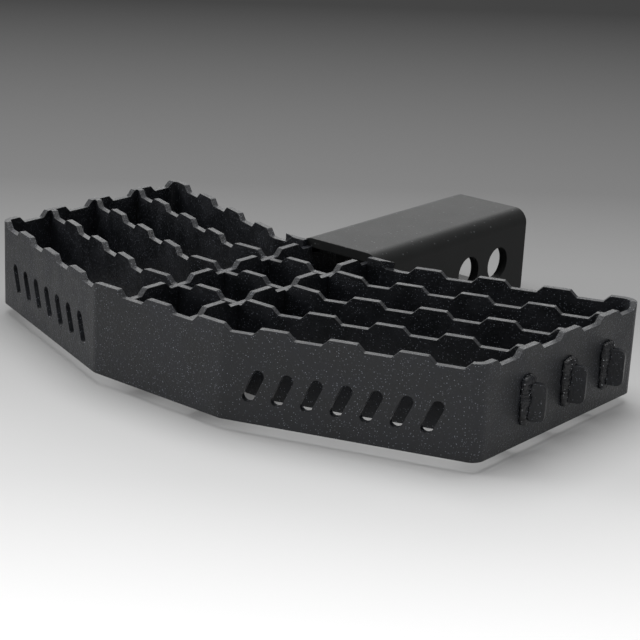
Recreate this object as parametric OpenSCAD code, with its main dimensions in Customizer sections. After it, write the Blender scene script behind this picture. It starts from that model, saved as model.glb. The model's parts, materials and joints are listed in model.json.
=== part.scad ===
// Bow-shaped hitch step: a serrated tread box of bent steel plates on a square receiver tube.
// X runs along the step, Y from the front plate towards the vehicle, Z up.

/* [Plates] */
// Thickness of every plate
plate_t = 3.2; // [2.6:0.1:4]
// Height of every plate at the tips of its teeth
plate_h = 44.4; // [36:0.1:49]
// Depth of the gaps between the teeth
tooth_d = 3.2; // [1.5:0.1:5]
// Length of a sloped tooth flank
flank = 3.3; // [1:0.1:4]
// Length of the flat top of a tooth
tooth_top = 12.6; // [8:0.1:15]
// Radius of the rounded tooth corners
tooth_r = 0.9; // [0.3:0.1:1.1]

/* [Plan] */
// Distance from one tooth to the next along the front, slats and back
pitch = 31.6; // [28:0.1:36]
// Half the width of the straight centre panel
centre_half = 39.8; // [38.5:0.1:44]
// Length of a wing along its plate, from the bend to the end corner
wing_len = 116.2; // [114:0.1:119]
// Angle by which the wings sweep back
sweep = 20; // [8:0.5:28]
// Distance from the front plate to the first slat, and between slats
slat_gap = 32.5; // [28:0.1:40]
// Distance from the last slat to the back plate
back_gap = 30.5; // [28:0.1:40]
// Shift of the back plate's teeth towards the tube
back_shift = 9.5; // [8:0.1:10.5]
// Distance from a slat's end to the middle of the tooth beside it
end_shift = 2.2; // [0:0.1:4]
// Length of the front corner tooth along the end plate
corner_tooth = 8.6; // [7.5:0.1:10]
// Middle radius of the four corner bends
corner_r = 5.4; // [4:0.1:6.5]
// Middle radius of the soft bends where the wings begin
wing_r = 8; // [4:0.5:16]

/* [Joints between plates] */
// Play in the slots, across the plate that they hold
slot_gap = 0.2; // [0.1:0.05:0.5]
// Height of the tabs at the ends of the slats
tab_h = 17.4; // [10:0.1:22]
// Height of the middle of the tabs above the lower edge
tab_mid = 19.9; // [17:0.1:24]
// How far a tab stands out of the end plate
tab_out = 8.4; // [6:0.1:12]
// Radius of the rounded corners of a tab
tab_r = 3; // [0.5:0.1:4]
// Radius of the weld beads round the tabs
tab_weld_r = 3.4; // [2:0.1:4.5]
// How much thinner these beads are at their lower end
weld_taper = 0.8; // [0:0.1:1.4]
// Radius of the weld beads between tube and back plate
tube_weld_r = 5; // [3:0.1:7]
// Radius of the weld beads between cross slats and front plate
front_weld_r = 3.5; // [2:0.1:5]
// Length of the weld beads between cross slats and front plate
front_weld_h = 26; // [10:1:36]

/* [Receiver tube] */
// Outer width and height of the square tube
tube_w = 50.8; // [50:0.1:56]
// Wall of the tube
tube_wall = 4.8; // [3:0.1:6.4]
// Outer corner radius of the tube
tube_r = 7.8; // [6.8:0.1:10]
// Length of the tube behind the back plate
tube_len = 131.4; // [90:0.1:220]
// How far the tube stands above the tooth tips
tube_rise = 1.1; // [0:0.1:2]
// Diameter of the two pin holes
pin_d = 18; // [12:0.1:20]
// Distance from the open end of the tube to the nearer pin hole
pin_end = 25.3; // [16:0.1:34]
// Distance between the pin holes
pin_pitch = 26.8; // [24:0.1:36]
// Length of the slat tongues inside the tube
tongue = 20; // [8:0.5:30]

/* [Cut-outs in the wings] */
// Number of slanted slots in each wing
slot_count = 7; // [3:1:8]
// Width of a slot
slot_w = 5.6; // [3:0.1:7]
// Height of the row of slots
slot_row_h = 15; // [11:0.1:22]
// Distance between slots
slot_pitch = 13.6; // [11:0.1:14]
// Distance from the wing bend to the first slot
slot_start = 15; // [12:0.1:18]
// Height of the middle of the row above the lower edge
slot_mid = 17.6; // [14:0.1:24]
// Slant of the slots from upright
slot_slant = 24; // [0:1:35]

/* [Hidden] */
$fn = 48;
over = 1;
teeth_per_wing = 4;
slat_count = 3;
half_t = plate_t / 2;
slat_y = [for (k = [1 : slat_count]) k * slat_gap];
depth = slat_count * slat_gap + back_gap;
end_x = centre_half + wing_len * cos(sweep);
end_y = wing_len * sin(sweep);
inner_end_x = end_x - half_t;
outer_end_x = end_x + half_t;
tube_front = depth + half_t;
tube_back = tube_front + tube_len;
cross_x = tube_w / 2 - tube_wall - slot_gap / 2 - half_t;
plate_base = tube_w - tube_rise - plate_h;
tube_inner_r = max(tube_r - tube_wall, 1);
tube_inner = tube_w - 2 * tube_wall;
low_z = plate_h - tooth_d;
lap_z = low_z / 2;
bias = 0.003;
tab_low = tab_mid - tab_h / 2;
middle_y = (tube_back - half_t) / 2;
plate_colour = "#26282b";
tube_colour = "#303231";
weld_colour = "#3a3b3d";

// Gaps of the front plate and the slats on the right of the centre tooth, as [start, end] in
// distance from the centre line along the plate. The second one starts at the wing bend.
function front_gaps() = concat(
    [[tooth_top / 2, pitch - tooth_top / 2]],
    [[centre_half, 2 * pitch - tooth_top / 2]],
    [for (n = [2 : teeth_per_wing]) [n * pitch + tooth_top / 2, (n + 1) * pitch - tooth_top / 2]]);

function back_gaps() = [for (n = [1 : teeth_per_wing])
    [n * pitch + tooth_top / 2 - back_shift, (n + 1) * pitch - tooth_top / 2 - back_shift]];

// Gaps of an end plate, measured from the front corner: a tooth stands beside each slat end.
function end_tooth(k) = slat_y[k] + end_shift;
function end_gaps() = concat(
    [[corner_tooth, end_tooth(0) - tooth_top / 2]],
    [for (k = [0 : slat_count - 2]) [end_tooth(k) + tooth_top / 2, end_tooth(k + 1) - tooth_top / 2]],
    [[end_tooth(slat_count - 1) + tooth_top / 2, depth - corner_r + half_t / 2]]);

// Gaps of a cross slat: one tooth stands in the middle of each channel.
function channel_mid(k) = k < slat_count ? (k + 0.5) * slat_gap : slat_y[slat_count - 1] + back_gap / 2;
function cross_gaps() = concat(
    [[-plate_h, channel_mid(0) - tooth_top / 2]],
    [for (k = [0 : slat_count - 1]) [channel_mid(k) + tooth_top / 2, channel_mid(k + 1) - tooth_top / 2]],
    [[channel_mid(slat_count) + tooth_top / 2, depth + plate_h]]);

// Points of a round corner at p between the directions a and b, as seen by a walk round the outline.
function fillet(p, a, b, r) =
    let (turn = (b - a + 540) % 360 - 180,
         reach = r * tan(abs(turn) / 2),
         side = turn > 0 ? 1 : -1,
         c = p - reach * [cos(a), sin(a)] + side * r * [-sin(a), cos(a)])
    [for (s = [0 : 3]) c + side * r * [sin(a + turn * s / 3), -cos(a + turn * s / 3)]];

// Outline of one gap in the u and z plane, with round corners at its lips and its floor.
module gap_outline(g) {
    slope = atan2(tooth_d, flank);
    polygon(concat(
        [[g[0] - over, plate_h + over], [g[0] - over, plate_h]],
        fillet([g[0], plate_h], 0, -slope, tooth_r),
        fillet([g[0] + flank, low_z], -slope, 0, tooth_r),
        fillet([g[1] - flank, low_z], 0, slope, tooth_r),
        fillet([g[1], plate_h], slope, 0, tooth_r),
        [[g[1] + over, plate_h], [g[1] + over, plate_h + over]]));
}

// Cutter for one gap, along X from the origin of a straight run.
module gap_cutter(g) {
    translate([0, plate_t, 0])
        rotate([90, 0, 0])
            linear_extrude(2 * plate_t)
                gap_outline(g);
}

function unit(a) = [cos(a), sin(a)];
function heading(p, i) = atan2(p[i + 1][1] - p[i][1], p[i + 1][0] - p[i][0]);
function turn_at(p, i) = (heading(p, i) - heading(p, i - 1) + 540) % 360 - 180;

// Point i of the path p moved sideways by s, to the sharp corner of the plate's face there.
function edge_point(p, i, s) =
    let (a = heading(p, max(i - 1, 0)),
         b = heading(p, min(i, len(p) - 2)),
         half = ((b - a + 540) % 360 - 180) / 2)
    p[i] + s / cos(half) * unit(a + half + 90);

// What lies between a sharp corner of a plan outline and the arc of radius r round c that
// replaces it. The walls meet the arc at the angles a and b, as seen from c.
module corner_piece(c, r, a, b) {
    grow = 1 + over / r;
    translate(c) difference() {
        polygon([[0, 0], grow * r * unit(a),
                 grow * r / cos((b - a) / 2) * unit((a + b) / 2), grow * r * unit(b)]);
        circle(r = r + bias);
    }
}

// Plan of a plate bent along the path p of its middle line, with the middle radius r[i] at each
// bend. Each inside corner is filled up to its arc and each outside corner cut back to it.
module plate_plan(p, r) {
    last = len(p) - 1;
    difference() {
        union() {
            polygon(concat([for (i = [0 : last]) edge_point(p, i, -half_t)],
                           [for (i = [last : -1 : 0]) edge_point(p, i, half_t)]));
            for (i = [1 : last - 1]) bend_corner(p, r, i, -half_t);
        }
        for (i = [1 : last - 1]) bend_corner(p, r, i, half_t);
    }
}
module bend_corner(p, r, i, thick) {
    turn = turn_at(p, i);
    side = turn > 0 ? 1 : -1;
    a = heading(p, i - 1) - side * 90;
    centre = p[i] - r[i] / cos(turn / 2) * unit(a + turn / 2);
    corner_piece(centre, r[i] + thick, a + min(turn, 0), a + max(turn, 0));
}
module bent_plate(p, r) {
    linear_extrude(plate_h) plate_plan(p, r);
}

// Children placed on the centre panel and on the two wings of a plate whose middle is at y.
module on_centre(y) {
    translate([0, y, 0]) children();
}
module on_wing(side, y) {
    mirror([side < 0 ? 1 : 0, 0, 0])
        translate([centre_half, y, 0])
            rotate(sweep)
                translate([-centre_half, 0, 0])
                    children();
}

// The tooth gaps of a plate of the bow shape. Gaps before the bend lie on the centre panel.
module bow_gaps(gaps, y) {
    for (side = [-1, 1])
        for (g = gaps)
            if (g[1] < centre_half)
                mirror([side < 0 ? 1 : 0, 0, 0]) on_centre(y) gap_cutter(g);
            else
                on_wing(side, y) gap_cutter(g);
}

// Outline of a slat's end tab in the u and z plane, from inside the end plate to its chamfered tip.
function wing_u(x) = centre_half + (x - centre_half) / cos(sweep);
module tab_outline(from, grow) {
    tip = wing_u(outer_end_x + tab_out);
    low = tab_low - grow;
    high = tab_low + tab_h + grow;
    polygon(concat([[from, low]], fillet([tip, low], 0, 90, tab_r),
                   fillet([tip, high], 90, 180, tab_r), [[from, high]]));
}
module tab(from, grow, thick) {
    translate([0, thick / 2, 0])
        rotate([90, 0, 0])
            linear_extrude(thick)
                tab_outline(from, grow);
}

// One row of slanted slots through a wing plate.
module wing_slots() {
    straight = slot_row_h / cos(slot_slant) - slot_w;
    for (n = [0 : slot_count - 1])
        translate([centre_half + slot_start + n * slot_pitch, plate_t, slot_mid])
            rotate([90, slot_slant, 0])
                linear_extrude(2 * plate_t) {
                    square([slot_w, straight], center = true);
                    for (s = [-1, 1]) translate([0, s * straight / 2]) circle(d = slot_w);
                }
}

module outer_band() {
    stub_x = cross_x + half_t;
    side = [[stub_x, depth], [centre_half, depth], [end_x, depth + end_y], [end_x, end_y],
            [centre_half, 0]];
    left = [for (q = side) [-q[0], q[1]]];
    path = concat(side, [for (i = [4 : -1 : 0]) left[i]]);
    radii = [0, wing_r, corner_r, corner_r, wing_r, wing_r, corner_r, corner_r, wing_r, 0];
    color(plate_colour) difference() {
        bent_plate(path, radii);
        bow_gaps(front_gaps(), 0);
        bow_gaps(back_gaps(), depth);
        for (side = [-1, 1]) {
            for (g = end_gaps())
                translate([side * end_x, end_y, 0]) rotate(90) gap_cutter(g);
            for (y = slat_y)
                on_wing(side, y) tab(wing_u(inner_end_x) - over, slot_gap / 2, plate_t + slot_gap);
            on_wing(side, 0) wing_slots();
        }
    }
}

// What is cut away round a slat's end, so that only its tab reaches past the end plate.
module end_trim(side, y) {
    difference() {
        translate([side > 0 ? inner_end_x : -outer_end_x - plate_h, y, -over])
            cube([outer_end_x - inner_end_x + plate_h, depth, plate_h + 2 * over]);
        on_wing(side, y) tab(wing_u(inner_end_x) - 2 * plate_t, 0, 3 * plate_t);
    }
}

module slat(y) {
    reach = wing_u(outer_end_x + tab_out) - centre_half + over;
    tip = [centre_half + reach * cos(sweep), y + reach * sin(sweep)];
    path = [[-tip[0], tip[1]], [-centre_half, y], [centre_half, y], tip];
    color(plate_colour) difference() {
        bent_plate(path, [0, wing_r, wing_r, 0]);
        bow_gaps(front_gaps(), y);
        for (side = [-1, 1]) {
            end_trim(side, y);
            translate([side * cross_x - half_t - slot_gap / 2, y - plate_t, lap_z])
                cube([plate_t + slot_gap, 2 * plate_t, plate_h]);
        }
    }
}

module cross_slat(side) {
    tongue_low = -plate_base + tube_wall + tube_inner_r;
    tongue_h = tube_inner - 2 * tube_inner_r;
    color(plate_colour) difference() {
        translate([side * cross_x - half_t, 0, 0]) {
            translate([0, half_t, 0]) cube([plate_t, tube_front - half_t, plate_h]);
            translate([0, tube_front - over, tongue_low]) cube([plate_t, tongue + over, tongue_h]);
        }
        for (g = cross_gaps())
            translate([side * cross_x, 0, 0]) rotate(90) gap_cutter(g);
        for (y = slat_y)
            translate([side * cross_x - plate_t, y - half_t - slot_gap / 2, -over])
                cube([2 * plate_t, plate_t + slot_gap, lap_z + over]);
    }
}

module rounded_square(w, r) {
    square([w, w - 2 * r], center = true);
    square([w - 2 * r, w], center = true);
    for (x = [-1, 1])
        for (y = [-1, 1])
            translate([x * (w / 2 - r), y * (w / 2 - r)]) circle(r = r);
}

module receiver_tube() {
    color(tube_colour) difference() {
        translate([0, tube_front, -plate_base + tube_w / 2])
            rotate([-90, 0, 0])
                linear_extrude(tube_len) difference() {
                    rounded_square(tube_w, tube_r);
                    rounded_square(tube_inner, tube_inner_r);
                }
        for (n = [0, 1])
            translate([-tube_w, tube_back - pin_end - n * pin_pitch, -plate_base + tube_w / 2])
                rotate([0, 90, 0])
                    cylinder(d = pin_d, h = 2 * tube_w);
    }
}

// A bead of weld round one tab, on the outer face of the end plate.
module tab_weld(side, k) {
    lift = half_t / cos(sweep);
    color(weld_colour) difference() {
        translate([side * outer_end_x, slat_y[k] + (outer_end_x - centre_half) * tan(sweep), tab_low])
            hull()
                for (s = [-1, 1]) {
                    translate([0, s * lift, 0]) sphere(r = tab_weld_r - weld_taper, $fn = 24);
                    translate([0, s * lift, tab_h]) sphere(r = tab_weld_r, $fn = 24);
                }
        on_wing(side, slat_y[k]) tab(wing_u(inner_end_x), 0, plate_t);
        translate([-outer_end_x, 0, -over]) cube([2 * outer_end_x, 3 * depth, plate_h + 2 * over]);
    }
}

// An upright bead between a side wall of the tube and the rear face of the back plate.
module tube_weld(side) {
    edge = tube_w / 2;
    low = -plate_base + tube_r;
    high = plate_h - tooth_d - over;
    color(weld_colour) intersection() {
        translate([side * edge, tube_front, low])
            cylinder(r = tube_weld_r, h = high - low);
        translate([side > 0 ? edge : -edge - 2 * tube_weld_r, tube_front, low])
            cube([2 * tube_weld_r, 2 * tube_weld_r, high - low]);
    }
}

// An upright bead in the corner between the front plate and the outer side of a cross slat.
module front_weld(side) {
    edge = cross_x + half_t;
    low = lap_z - front_weld_h / 2;
    color(weld_colour) intersection() {
        translate([side * edge, half_t, low])
            cylinder(r = front_weld_r, h = front_weld_h);
        translate([side > 0 ? edge : -edge - 2 * front_weld_r, half_t, low])
            cube([2 * front_weld_r, 2 * front_weld_r, front_weld_h]);
    }
}

module placed() {
    translate([0, -middle_y, plate_base]) children();
}

placed() outer_band();
placed() slat(slat_y[0]);  // slat_front
placed() slat(slat_y[1]);  // slat_middle
placed() slat(slat_y[2]);  // slat_rear
placed() cross_slat(-1);  // cross_slat_left
placed() cross_slat(1);  // cross_slat_right
placed() receiver_tube();
placed() tab_weld(-1, 0);  // tab_weld_left_front
placed() tab_weld(-1, 1);  // tab_weld_left_middle
placed() tab_weld(-1, 2);  // tab_weld_left_rear
placed() tab_weld(1, 0);  // tab_weld_right_front
placed() tab_weld(1, 1);  // tab_weld_right_middle
placed() tab_weld(1, 2);  // tab_weld_right_rear
placed() tube_weld(-1);  // tube_weld_left
placed() tube_weld(1);  // tube_weld_right
placed() front_weld(-1);  // front_weld_left
placed() front_weld(1);  // front_weld_right
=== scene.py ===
"""A bow-shaped hitch step: toothed steel tread plates on a square shank, powder coated black.

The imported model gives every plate, tube and weld its shape and place. This script gives them their
finishes, lays rippled weld beads over the plain ones, and sets the floor, the lights and the camera.
All lengths are in metres, unless a name ends in _mm.
"""

import json
import logging
import math
from dataclasses import dataclass
from enum import Enum

import bmesh
import bpy
from mathutils import Matrix, Vector, noise

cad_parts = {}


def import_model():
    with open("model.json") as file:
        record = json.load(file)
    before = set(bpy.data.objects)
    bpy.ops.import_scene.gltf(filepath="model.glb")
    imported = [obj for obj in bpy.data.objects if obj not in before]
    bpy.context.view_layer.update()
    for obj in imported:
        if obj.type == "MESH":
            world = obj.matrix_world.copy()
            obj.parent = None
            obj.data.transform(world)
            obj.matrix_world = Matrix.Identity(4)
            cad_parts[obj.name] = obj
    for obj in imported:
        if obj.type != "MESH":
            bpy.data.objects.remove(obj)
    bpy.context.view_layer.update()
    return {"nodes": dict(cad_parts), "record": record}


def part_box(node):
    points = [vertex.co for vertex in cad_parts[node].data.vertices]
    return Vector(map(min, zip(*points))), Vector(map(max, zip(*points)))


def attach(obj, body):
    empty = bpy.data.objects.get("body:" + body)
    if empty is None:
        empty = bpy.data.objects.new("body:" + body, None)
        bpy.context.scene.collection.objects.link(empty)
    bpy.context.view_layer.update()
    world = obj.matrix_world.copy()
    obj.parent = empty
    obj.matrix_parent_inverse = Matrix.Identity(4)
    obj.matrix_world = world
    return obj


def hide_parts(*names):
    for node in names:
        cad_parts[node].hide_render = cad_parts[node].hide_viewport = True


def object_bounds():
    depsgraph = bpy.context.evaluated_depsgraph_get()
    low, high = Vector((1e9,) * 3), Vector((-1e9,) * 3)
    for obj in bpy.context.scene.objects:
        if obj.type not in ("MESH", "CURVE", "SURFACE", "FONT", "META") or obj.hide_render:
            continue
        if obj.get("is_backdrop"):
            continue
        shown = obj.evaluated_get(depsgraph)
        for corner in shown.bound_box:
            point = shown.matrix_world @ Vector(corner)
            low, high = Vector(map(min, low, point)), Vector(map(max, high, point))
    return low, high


LOG = logging.getLogger("hitch_step")
MM = 0.001


class Slot(Enum):
    """The record's material slots that pieces take their finish from."""

    PLATE = "plate_coat"
    TUBE = "tube_coat"
    WELD = "weld_bead"


class Side(Enum):
    """The two halves of the step, with the sign of their X."""

    LEFT = -1
    RIGHT = 1


def linear(hex_colour: str) -> tuple[float, float, float, float]:
    """Turn an sRGB colour into the linear values that a shader takes.

    Args:
        hex_colour: six hex digits, such as "1b1c1e".

    Returns:
        Red, green, blue and an alpha of one.
    """
    parts = [int(hex_colour[i : i + 2], 16) / 255 for i in (0, 2, 4)]
    red, green, blue = (p / 12.92 if p <= 0.04045 else ((p + 0.055) / 1.055) ** 2.4 for p in parts)
    return red, green, blue, 1.0


def per_metre(size_mm: float) -> float:
    """Return the texture scale at which one feature of a pattern measures size_mm."""
    return 1 / (size_mm * MM)


def add_node(
    tree: bpy.types.NodeTree,
    kind: str,
    settings: dict[str, object] | None = None,
    values: dict[str | int, object] | None = None,
    links: dict[str | int, bpy.types.NodeSocket] | None = None,
) -> bpy.types.Node:
    """Add one shader node with its settings, its sockets' values and its links.

    Args:
        tree: the node tree that gets the node.
        kind: the node's type, such as "ShaderNodeTexNoise".
        settings: attributes of the node itself.
        values: input sockets' values, by name or by place.
        links: sockets that feed this node's inputs, by name or by place.

    Returns:
        The new node.
    """
    node = tree.nodes.new(kind)
    for key, value in (settings or {}).items():
        setattr(node, key, value)
    for key, value in (values or {}).items():
        node.inputs[key].default_value = value
    for key, socket in (links or {}).items():
        tree.links.new(socket, node.inputs[key])
    return node


@dataclass(frozen=True)
class PowderCoat:
    """Polyester powder coat, sprayed dry and baked, over steel.

    It gives the eye a near black skin with a soft sheen and a fine pebbled grain that breaks the highlights
    up. Here and there a grain is lightened in the colour: a painted glint, where a facet of the coat would
    catch the light.
    """

    name: str
    colour: str
    lift_colour: str
    painted_glint_colour: str
    roughness: float
    roughness_spread: float
    specular: float
    grain_mm: float
    grain_depth_mm: float
    glint_cell_mm: float
    glint_share: float
    edge_round_mm: float

    def build(self) -> bpy.types.Material:
        """Make the material.

        Returns:
            A node-based material on Object coordinates.
        """
        material = bpy.data.materials.new(self.name)
        material.use_nodes = True
        tree = material.node_tree
        tree.nodes.clear()
        place = add_node(tree, "ShaderNodeTexCoord").outputs["Object"]
        cloud = self._cloud(tree, place)
        painted_glint = self._flecks(tree, place)
        base = add_node(
            tree, "ShaderNodeMix", {"data_type": "RGBA"},
            {6: linear(self.colour), 7: linear(self.lift_colour)}, {0: cloud},
        ).outputs[2]
        # Lighten the scattered grains: painted glints, standing in for facets of the coat that catch the
        # light.
        colour = add_node(
            tree, "ShaderNodeMix", {"data_type": "RGBA"},
            {7: linear(self.painted_glint_colour)}, {0: painted_glint, 6: base},
        ).outputs[2]
        rough = add_node(
            tree, "ShaderNodeMapRange", None,
            {
                "To Min": self.roughness - self.roughness_spread,
                "To Max": self.roughness + self.roughness_spread,
            },
            {"Value": cloud},
        ).outputs["Result"]
        shader = add_node(
            tree, "ShaderNodeBsdfPrincipled", None, {"Specular IOR Level": self.specular},
            {"Base Color": colour, "Roughness": rough, "Normal": self._relief(tree, place)},
        )
        add_node(tree, "ShaderNodeOutputMaterial", None, None, {"Surface": shader.outputs["BSDF"]})
        return material

    def _cloud(self, tree: bpy.types.NodeTree, place: bpy.types.NodeSocket) -> bpy.types.NodeSocket:
        """Return a soft mottle, about 14 mm across, where the coat lies thicker or thinner."""
        cloud = add_node(
            tree, "ShaderNodeTexNoise", None, {"Scale": per_metre(14), "Detail": 3.0, "Roughness": 0.6},
            {"Vector": place},
        )
        return add_node(
            tree, "ShaderNodeMapRange", {"interpolation_type": "SMOOTHSTEP"},
            {"From Min": 0.3, "From Max": 0.7}, {"Value": cloud.outputs["Fac"]},
        ).outputs["Result"]

    def _flecks(self, tree: bpy.types.NodeTree, place: bpy.types.NodeSocket) -> bpy.types.NodeSocket:
        """Return the mask of the painted glints: scattered grains lightened in the colour, standing in for
        facets of the coat that catch the light.

        Real ones are a tenth of a millimetre across. They are drawn about five times as coarse, so
        that they show in the render.
        """
        cells = add_node(
            tree, "ShaderNodeTexVoronoi", None, {"Scale": per_metre(self.glint_cell_mm), "Randomness": 1.0},
            {"Vector": place},
        )
        dot = add_node(
            tree, "ShaderNodeMapRange", {"interpolation_type": "SMOOTHSTEP"},
            {"From Min": 0.26, "From Max": 0.12}, {"Value": cells.outputs["Distance"]},
        ).outputs["Result"]
        chance = add_node(tree, "ShaderNodeSeparateColor", None, None, {"Color": cells.outputs["Color"]})
        lit = add_node(
            tree, "ShaderNodeMapRange", None, {"From Min": 1 - self.glint_share, "From Max": 1.0},
            {"Value": chance.outputs["Red"]},
        ).outputs["Result"]
        return add_node(tree, "ShaderNodeMath", {"operation": "MULTIPLY"}, None, {0: dot, 1: lit}).outputs[0]

    def _relief(self, tree: bpy.types.NodeTree, place: bpy.types.NodeSocket) -> bpy.types.NodeSocket:
        """Return the normal: edges that the coat rounds over, and the pebbled grain on top."""
        rounded = add_node(
            tree, "ShaderNodeBevel", {"samples": 6}, {"Radius": self.edge_round_mm * MM},
        ).outputs["Normal"]
        grain = add_node(
            tree, "ShaderNodeTexNoise", None,
            {"Scale": per_metre(self.grain_mm), "Detail": 3.0, "Roughness": 0.65}, {"Vector": place},
        ).outputs["Fac"]
        return add_node(
            tree, "ShaderNodeBump", None, {"Strength": 1.0, "Distance": self.grain_depth_mm * MM},
            {"Height": grain, "Normal": rounded},
        ).outputs["Normal"]


# Each coat's third colour paints its glints: grains lightened to stand in for facets that catch the light.
COATS: dict[Slot, PowderCoat] = {
    Slot.PLATE: PowderCoat(
        name="textured_powder_coat", colour="141619", lift_colour="1d1f24", painted_glint_colour="8e939d",
        roughness=0.4, roughness_spread=0.07, specular=0.45, grain_mm=1.3, grain_depth_mm=0.3,
        glint_cell_mm=1.0, glint_share=0.9, edge_round_mm=0.45,
    ),
    Slot.TUBE: PowderCoat(
        name="satin_powder_coat", colour="181919", lift_colour="1e1f1f", painted_glint_colour="5c5e60",
        roughness=0.52, roughness_spread=0.015, specular=0.26, grain_mm=0.8, grain_depth_mm=0.06,
        glint_cell_mm=2.2, glint_share=0.3, edge_round_mm=0.6,
    ),
    Slot.WELD: PowderCoat(
        name="powder_coat_on_weld", colour="111215", lift_colour="191b20", painted_glint_colour="d6dadf",
        roughness=0.24, roughness_spread=0.06, specular=0.5, grain_mm=1.4, grain_depth_mm=0.5,
        glint_cell_mm=1.2, glint_share=0.5, edge_round_mm=0.2,
    ),
}


@dataclass
class WeldBead:
    """One run of weld: a round bead with the ripples of its puddle, laid along a path.

    The bead swells by at most `radius`, so its lumps and ripples come off a slimmer core. Radii and
    swells that have no unit in their name are shares of `radius`.
    """

    name: str
    path: list[Vector]
    closed: bool
    radius: float
    core: float = 0.93
    top_swell: float = 0.0
    ripple_mm: float = 1.7
    ripple_depth: float = 0.12
    lump_mm: float = 5.0
    lump_depth: float = 0.3
    end_core: float = 0.45
    end_slope: float = 6.0
    skin_mm: tuple[float, float] = (2.6, 1.1)
    skin_depth_mm: float = 0.45
    step_mm: float = 0.3

    def mesh(self) -> bpy.types.Object:
        """Sweep the bead along its path.

        Returns:
            A mesh object at the origin, with its place in its mesh.
        """
        points = self._resampled()
        curve = bpy.data.curves.new(self.name + "_path", "CURVE")
        curve.dimensions = "3D"
        curve.bevel_depth = self.radius
        curve.bevel_resolution = 5
        curve.use_fill_caps = not self.closed
        spline = curve.splines.new("POLY")
        spline.points.add(len(points) - 1)
        for i, point in enumerate(points):
            spline.points[i].co = (*point, 1.0)
            spline.points[i].radius = self._swell(i * self.step_mm, point, i / len(points))
        spline.use_cyclic_u = self.closed
        carrier = bpy.data.objects.new(self.name + "_path", curve)
        bpy.context.scene.collection.objects.link(carrier)
        bpy.context.view_layer.update()
        mesh = bpy.data.meshes.new_from_object(carrier.evaluated_get(bpy.context.evaluated_depsgraph_get()))
        bpy.data.objects.remove(carrier)
        merge_doubles(mesh)
        self._roughen(mesh)
        bead = bpy.data.objects.new(self.name, mesh)
        bpy.context.scene.collection.objects.link(bead)
        return bead

    def _roughen(self, mesh: bpy.types.Mesh) -> None:
        """Push the bead's skin in and out a little, as where a puddle froze unevenly."""
        coarse, fine = (per_metre(size) for size in self.skin_mm)
        for vertex in mesh.vertices:
            swell = noise.noise(vertex.co * coarse) + noise.noise(vertex.co * fine) / 2
            vertex.co += vertex.normal * (self.skin_depth_mm * MM * swell)

    def _resampled(self) -> list[Vector]:
        """Return the path as points one step apart."""
        corners = self.path + ([self.path[0]] if self.closed else [])
        points = []
        carry = 0.0
        for start, end in zip(corners, corners[1:]):
            run = (end - start).length
            along = carry
            while along < run:
                points.append(start.lerp(end, along / run))
                along += self.step_mm * MM
            carry = along - run
        return points

    def _swell(self, along_mm: float, point: Vector, share: float) -> float:
        """Return the bead's radius at a point, as a share of its full radius.

        Args:
            along_mm: distance along the bead.
            point: the point, which seeds the lumps.
            share: how far along the bead the point is, from 0 to 1.
        """
        phase = (along_mm / self.ripple_mm) % 1.0
        ripple = 1 - self.ripple_depth * phase**2
        lumps = 1 + self.lump_depth * noise.noise(point * per_metre(self.lump_mm))
        ends = 1.0 if self.closed else min(1.0, self.end_core + self.end_slope * min(share, 1 - share))
        heights = [corner.z for corner in self.path]
        middle = (min(heights) + max(heights)) / 2
        above = (point.z - middle) / (max(heights) - middle)
        return ripple * lumps * ends * (self.core + self.top_swell * above)


def merge_doubles(mesh: bpy.types.Mesh) -> None:
    """Join the vertices of a mesh that lie at one place, such as those round a tube's end cap."""
    cells = bmesh.new()
    cells.from_mesh(mesh)
    bmesh.ops.remove_doubles(cells, verts=cells.verts[:], dist=0.005 * MM)
    cells.to_mesh(mesh)
    cells.free()


def cut_away(piece: bpy.types.Object, point: Vector, normal: Vector) -> None:
    """Cut off and close everything on a piece that lies beyond a plane.

    Args:
        piece: the mesh object that is cut.
        point: a point on the plane.
        normal: the side that is cut away.
    """
    cells = bmesh.new()
    cells.from_mesh(piece.data)
    everything = cells.verts[:] + cells.edges[:] + cells.faces[:]
    bmesh.ops.bisect_plane(cells, geom=everything, plane_co=point, plane_no=normal, clear_outer=True)
    rim = [edge for edge in cells.edges if edge.is_boundary]
    caps = bmesh.ops.holes_fill(cells, edges=rim, sides=0)["faces"]
    bmesh.ops.triangulate(cells, faces=caps)
    bmesh.ops.recalc_face_normals(cells, faces=cells.faces[:])
    cells.to_mesh(piece.data)
    cells.free()


def finish_piece(piece: bpy.types.Object, coat: bpy.types.Material, stands_for: str) -> None:
    """Shade a new piece smooth, coat it, and let it stand for its plain node.

    Args:
        piece: the piece.
        coat: its material.
        stands_for: the node that it replaces.
    """
    piece.data.materials.clear()
    piece.data.materials.append(coat)
    piece.data.shade_smooth()
    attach(piece, "root")
    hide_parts(stands_for)


@dataclass
class TabWelds:
    """The beads round the tabs, on the outer faces of the end plates."""

    places: tuple[str, ...] = ("front", "middle", "rear")
    radius: float = 3.3 * MM
    bottom_share: float = 0.8
    top_swell: float = 0.16

    def build(self, coat: bpy.types.Material) -> list[bpy.types.Object]:
        """Lay one bead round each tab.

        Args:
            coat: the beads' material.

        Returns:
            The beads.
        """
        return [self._bead(side, place, coat) for side in Side for place in self.places]

    def _bead(self, side: Side, place: str, coat: bpy.types.Material) -> bpy.types.Object:
        """Lay the bead round one tab, sunk halfway into the end plate's face and cut off there."""
        node = f"tab_weld_{side.name.lower()}_{place}"
        low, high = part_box(node)
        face = low.x if side is Side.RIGHT else high.x
        left, right = low.y + self.radius, high.y - self.radius
        bottom, top = low.z + self.radius * self.bottom_share, high.z - self.radius
        ring = [(left, bottom), (left, top), (right, top), (right, bottom)]
        path = [Vector((face, y, z)) for y, z in ring]
        bead = WeldBead(f"rippled_{node}", path, True, self.radius, top_swell=self.top_swell).mesh()
        cut_away(bead, Vector((face, 0, 0)), Vector((-side.value, 0, 0)))
        finish_piece(bead, coat, node)
        return bead


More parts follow.
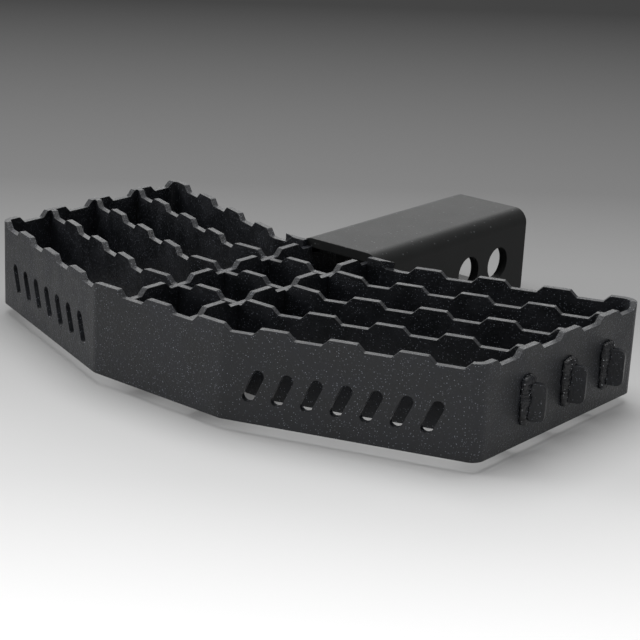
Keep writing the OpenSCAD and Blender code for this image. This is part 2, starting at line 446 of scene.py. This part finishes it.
@dataclass
class CornerWelds:
    """Upright beads in the corners where two flat faces meet."""

    prefix: str
    radius: float

    def build(self, coat: bpy.types.Material) -> list[bpy.types.Object]:
        """Lay one upright bead on each side.

        Args:
            coat: the beads' material.

        Returns:
            The beads.
        """
        return [self._bead(side, coat) for side in Side]

    def _bead(self, side: Side, coat: bpy.types.Material) -> bpy.types.Object:
        """Lay one bead along a corner and cut it off at both faces."""
        node = f"{self.prefix}_{side.name.lower()}"
        low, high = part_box(node)
        corner_x = low.x if side is Side.RIGHT else high.x
        path = [Vector((corner_x, low.y, low.z)), Vector((corner_x, low.y, high.z))]
        bead = WeldBead(f"rippled_{node}", path, False, self.radius, step_mm=0.4).mesh()
        cut_away(bead, Vector((corner_x, 0, 0)), Vector((-side.value, 0, 0)))
        cut_away(bead, Vector((0, low.y, 0)), Vector((0, -1, 0)))
        finish_piece(bead, coat, node)
        return bead


@dataclass
class SteelWork:
    """The plates and the shank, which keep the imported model's own meshes."""

    nodes: dict[str, bpy.types.Object]
    subparts: list[dict[str, str]]

    def dress(self, materials: dict[Slot, bpy.types.Material]) -> list[str]:
        """Give each node the coat of its slot.

        Args:
            materials: the coats by slot.

        Returns:
            The names of the nodes.
        """
        for part in self.subparts:
            mesh = self.nodes[part["node"]].data
            mesh.materials.clear()
            mesh.materials.append(materials[Slot(part["material_slot"])])
        return [part["node"] for part in self.subparts]


@dataclass(frozen=True)
class SoftLight:
    """A rectangular soft box."""

    name: str
    place: tuple[float, float, float]
    target: tuple[float, float, float]
    width: float
    height: float
    watts: float

    def build(self) -> bpy.types.Object:
        """Hang the light and aim it.

        Returns:
            The light's object.
        """
        data = bpy.data.lights.new(self.name, "AREA")
        data.shape = "RECTANGLE"
        data.size = self.width
        data.size_y = self.height
        data.energy = self.watts
        light = bpy.data.objects.new(self.name, data)
        aim = Vector(self.target) - Vector(self.place)
        turn = aim.to_track_quat("-Z", "Y").to_matrix().to_4x4()
        light.matrix_world = Matrix.Translation(self.place) @ turn
        bpy.context.scene.collection.objects.link(light)
        return light


@dataclass
class Studio:
    """A sheet of background paper with painted shade, soft boxes, and an even fill from the world.

    The paper is white in front of the object and greyer towards the back left, along `away`: painted shade,
    standing in for the light falling off. Each shade is a pair: the distance along that line from the
    object's middle, and the colour there.
    """

    floor_size: float = 12.0
    away: tuple[float, float, float] = (-0.6667, 0.7453, 0.0)
    reach: tuple[float, float] = (-0.33, 1.17)
    # Painted shade: the paper's grey deepens towards the back left, standing in for the light falling off.
    painted_falloff_shades: tuple[tuple[float, str], ...] = (
        (-0.33, "fafafa"),
        (-0.18, "d3d3d3"),
        (0.06, "9c9c9c"),
        (0.32, "777777"),
        (1.1, "404040"),
    )
    ambient: float = 0.3
    lights: tuple[SoftLight, ...] = (
        SoftLight("overhead_box", (-0.25, 0.0, 1.7), (0, 0, 0), 1.8, 1.8, 29),
        SoftLight("back_left_box", (-1.5, 1.65, 0.95), (0, 0, 0.04), 2.2, 1.4, 15),
        SoftLight("left_box", (-1.6, -1.1, 0.8), (0, 0, 0.03), 1.2, 1.0, 11),
    )

    def build(self) -> None:
        """Set up the floor, the world and the lights."""
        self._floor()
        self._world()
        for light in self.lights:
            light.build()

    def _floor(self) -> None:
        """Lay the floor a hair below the shank's underside, so that the two faces don't coincide."""
        cells = bmesh.new()
        bmesh.ops.create_grid(cells, x_segments=1, y_segments=1, size=self.floor_size / 2)
        bmesh.ops.translate(cells, vec=(0, 0, -0.2 * MM), verts=cells.verts[:])
        mesh = bpy.data.meshes.new("floor")
        cells.to_mesh(mesh)
        cells.free()
        floor = bpy.data.objects.new("floor", mesh)
        bpy.context.scene.collection.objects.link(floor)
        mesh.materials.append(self._painted_falloff_paper())
        floor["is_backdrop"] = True

    def _painted_falloff_paper(self) -> bpy.types.Material:
        """Return the matt background paper, painted darker towards the back left as shade for the light
        falling off.
        """
        material = bpy.data.materials.new("painted_falloff_paper")
        material.use_nodes = True
        tree = material.node_tree
        tree.nodes.clear()
        place = add_node(tree, "ShaderNodeTexCoord").outputs["Object"]
        along = add_node(
            tree, "ShaderNodeVectorMath", {"operation": "DOT_PRODUCT"}, {1: self.away}, {0: place},
        ).outputs["Value"]
        start, end = self.reach
        share = add_node(
            tree, "ShaderNodeMapRange", None, {"From Min": start, "From Max": end}, {"Value": along},
        ).outputs["Result"]
        ramp = add_node(tree, "ShaderNodeValToRGB", None, None, {"Fac": share})
        stops = ramp.color_ramp.elements
        while len(stops) < len(self.painted_falloff_shades):
            stops.new(0.5)
        for stop, (where, colour) in zip(stops, self.painted_falloff_shades):
            stop.position = (where - start) / (end - start)
            stop.color = linear(colour)
        shader = add_node(
            tree, "ShaderNodeBsdfPrincipled", None, {"Roughness": 0.9, "Specular IOR Level": 0.0},
            {"Base Color": ramp.outputs["Color"]},
        )
        add_node(tree, "ShaderNodeOutputMaterial", None, None, {"Surface": shader.outputs["BSDF"]})
        return material

    def _world(self) -> None:
        """Fill the world with a dim, even light, and show the camera the far grey of the paper's painted
        shade.
        """
        world = bpy.data.worlds.new("studio")
        bpy.context.scene.world = world
        world.use_nodes = True
        tree = world.node_tree
        tree.nodes.clear()
        fill = add_node(
            tree, "ShaderNodeBackground", None, {"Color": linear("ffffff"), "Strength": self.ambient},
        ).outputs["Background"]
        # Camera rays see the far grey of the paper's painted shade.
        painted_far_shade = add_node(
            tree, "ShaderNodeBackground", None, {"Color": linear(self.painted_falloff_shades[-1][1]), "Strength": 1.0},
        ).outputs["Background"]
        ray = add_node(tree, "ShaderNodeLightPath").outputs["Is Camera Ray"]
        both = add_node(tree, "ShaderNodeMixShader", None, None, {0: ray, 1: fill, 2: painted_far_shade})
        add_node(tree, "ShaderNodeOutputWorld", None, None, {"Surface": both.outputs["Shader"]})


@dataclass(frozen=True)
class PhotoCamera:
    """The camera, where the photo's perspective puts it."""

    place: tuple[float, float, float] = (0.5447, -0.6997, 0.3072)
    azimuth_deg: float = 41.82
    elevation_deg: float = 19.44
    roll_deg: float = 1.79
    lens_mm: float = 103.26
    sensor_mm: float = 36.0
    shift_x: float = 0.164
    shift_y: float = 0.0417

    def build(self) -> bpy.types.Object:
        """Place and aim the camera.

        Returns:
            The camera's object.
        """
        data = bpy.data.cameras.new("photo_camera")
        data.lens = self.lens_mm
        data.sensor_width = self.sensor_mm
        data.shift_x = self.shift_x
        data.shift_y = self.shift_y
        data.clip_start = 0.05
        camera = bpy.data.objects.new("photo_camera", data)
        turn = Matrix.Rotation(math.radians(self.azimuth_deg), 4, "Z")
        tilt = Matrix.Rotation(math.radians(90 - self.elevation_deg), 4, "X")
        roll = Matrix.Rotation(math.radians(self.roll_deg), 4, "Z")
        camera.matrix_world = Matrix.Translation(self.place) @ turn @ tilt @ roll
        bpy.context.scene.collection.objects.link(camera)
        bpy.context.scene.camera = camera
        return camera


def corners() -> list[list[float]]:
    """Return the whole object's lowest and highest corners as plain lists."""
    return [list(corner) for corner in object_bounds()]


def main() -> None:
    """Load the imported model, dress it and set the scene."""
    logging.basicConfig(level=logging.INFO, format="%(name)s: %(message)s")
    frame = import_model()
    PhotoCamera().build()
    materials = {slot: coat.build() for slot, coat in COATS.items()}
    for name in SteelWork(frame["nodes"], frame["record"]["subparts"]).dress(materials):
        LOG.info("coated %s", name)
    beads = TabWelds().build(materials[Slot.WELD])
    beads += CornerWelds("tube_weld", 4.8 * MM).build(materials[Slot.WELD])
    for bead in beads:
        LOG.info("laid %s, %d faces", bead.name, len(bead.data.polygons))
    Studio().build()
    bpy.context.scene.view_settings.view_transform = "Standard"


if __name__ == "__main__":
    main()
